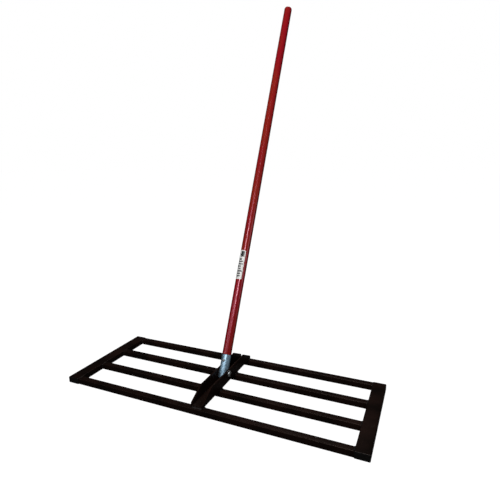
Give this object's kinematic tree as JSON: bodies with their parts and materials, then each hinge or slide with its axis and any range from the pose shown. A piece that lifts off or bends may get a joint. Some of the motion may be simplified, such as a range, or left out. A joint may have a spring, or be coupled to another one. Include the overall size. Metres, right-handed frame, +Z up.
{
  "type": "lawn levelling rake",
  "caption": "Wide flat head of parallel square steel tubes, with a long wooden handle pivoting on a bolt in a central channel, for spreading and levelling soil.",
  "frame": {"origin": "middle of the underside of the whole tool's bounding box, on the surface that the head lies on", "axes": "+Z up, X along the bars, +Y the way the handle leans back"},
  "size_m": [0.9144, 0.7564, 1.2278],
  "materials": {
    "black_paint": "black baked enamel, low gloss",
    "black_plastic": "moulded black plastic",
    "zinc_plate": "dull zinc plate",
    "nylon": "blue nylon ring",
    "galvanised_steel": "galvanised, faint blue-grey",
    "red_lacquered_wood": "deep red lacquer over straight-grained wood",
    "label_paper": "white satin label with plain printed blocks"
  },
  "bodies": {
    "head": {"front_bar": "black_paint", "front_middle_bar": "black_paint", "rear_middle_bar": "black_paint", "rear_bar": "black_paint", "left_end_tube": "black_paint", "right_end_tube": "black_paint", "left_front_plug": "black_plastic", "left_rear_plug": "black_plastic", "right_front_plug": "black_plastic", "right_rear_plug": "black_plastic", "pivot_channel": "black_paint", "pivot_bolt": "zinc_plate", "nut_washer": "zinc_plate", "lock_nut": "zinc_plate", "nut_insert": "nylon"},
    "handle": {"ferrule": "galvanised_steel", "wood_handle": "red_lacquered_wood", "front_ferrule_screw": "zinc_plate", "rear_ferrule_screw": "zinc_plate", "handle_label": "label_paper"}
  },
  "joints": [
    {"name": "handle_pivot", "type": "hinge", "parent": "head", "child": "handle", "pos_m": [0, -0.21167, 0.045], "axis": [1, 0, 0], "range_deg": [-63.8, 116.2]}
  ]
}
